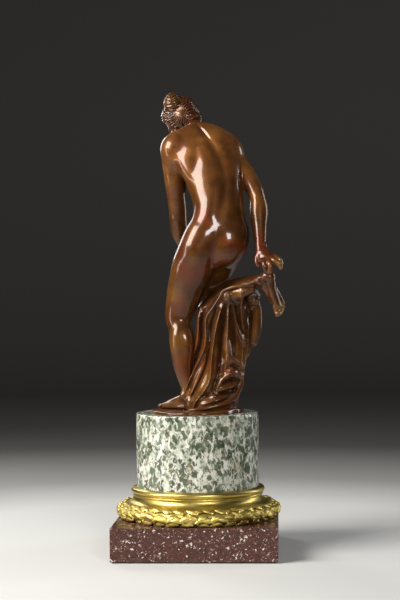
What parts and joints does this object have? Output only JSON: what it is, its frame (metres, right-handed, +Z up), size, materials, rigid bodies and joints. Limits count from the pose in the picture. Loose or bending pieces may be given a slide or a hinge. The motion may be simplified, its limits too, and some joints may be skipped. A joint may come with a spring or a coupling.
{
  "type": "bronze statuette on a stone base",
  "caption": "Patinated bronze statuette of a bather bending to dry a raised foot, on a green stone drum, gilt mouldings and a square porphyry plinth.",
  "frame": {"origin": "centre of the resting face under the square plinth, on the tie rod's axis", "axes": "+Z up; the plinth's sides lie along X and Y; the figure's back faces -Y and its raised foot points to +X"},
  "size_m": [0.1458, 0.14, 0.3967],
  "materials": {
    "bronze": "polished cast bronze under a warm brown translucent lacquer patina",
    "gilt_bronze": "chased and fire-gilt, burnished on the mouldings, matte between the leaves",
    "green_breccia": "polished",
    "porphyry": "polished, worn edges",
    "core_wood": "turned, unfinished",
    "baize": "felted wool",
    "steel": "turned"
  },
  "bodies": {
    "root": {"baize_pad": "baize", "porphyry_plinth": "porphyry", "base_core": "core_wood", "scotia_moulding": "gilt_bronze", "laurel_wreath_ring": "gilt_bronze", "marble_drum": "green_breccia", "ground_plate": "bronze", "tree_stump": "bronze", "drapery": "bronze", "figure_body": "bronze", "figure_head": "bronze", "figure_left_arm": "bronze", "figure_right_arm": "bronze", "figure_raised_leg": "bronze", "tie_rod": "steel", "rod_nut": "steel", "rod_washer": "steel", "neck_dowel": "steel", "left_shoulder_dowel": "steel", "right_shoulder_dowel": "steel", "hip_dowel": "steel", "foot_screw": "steel", "support_screws": "steel"}
  },
  "joints": []
}
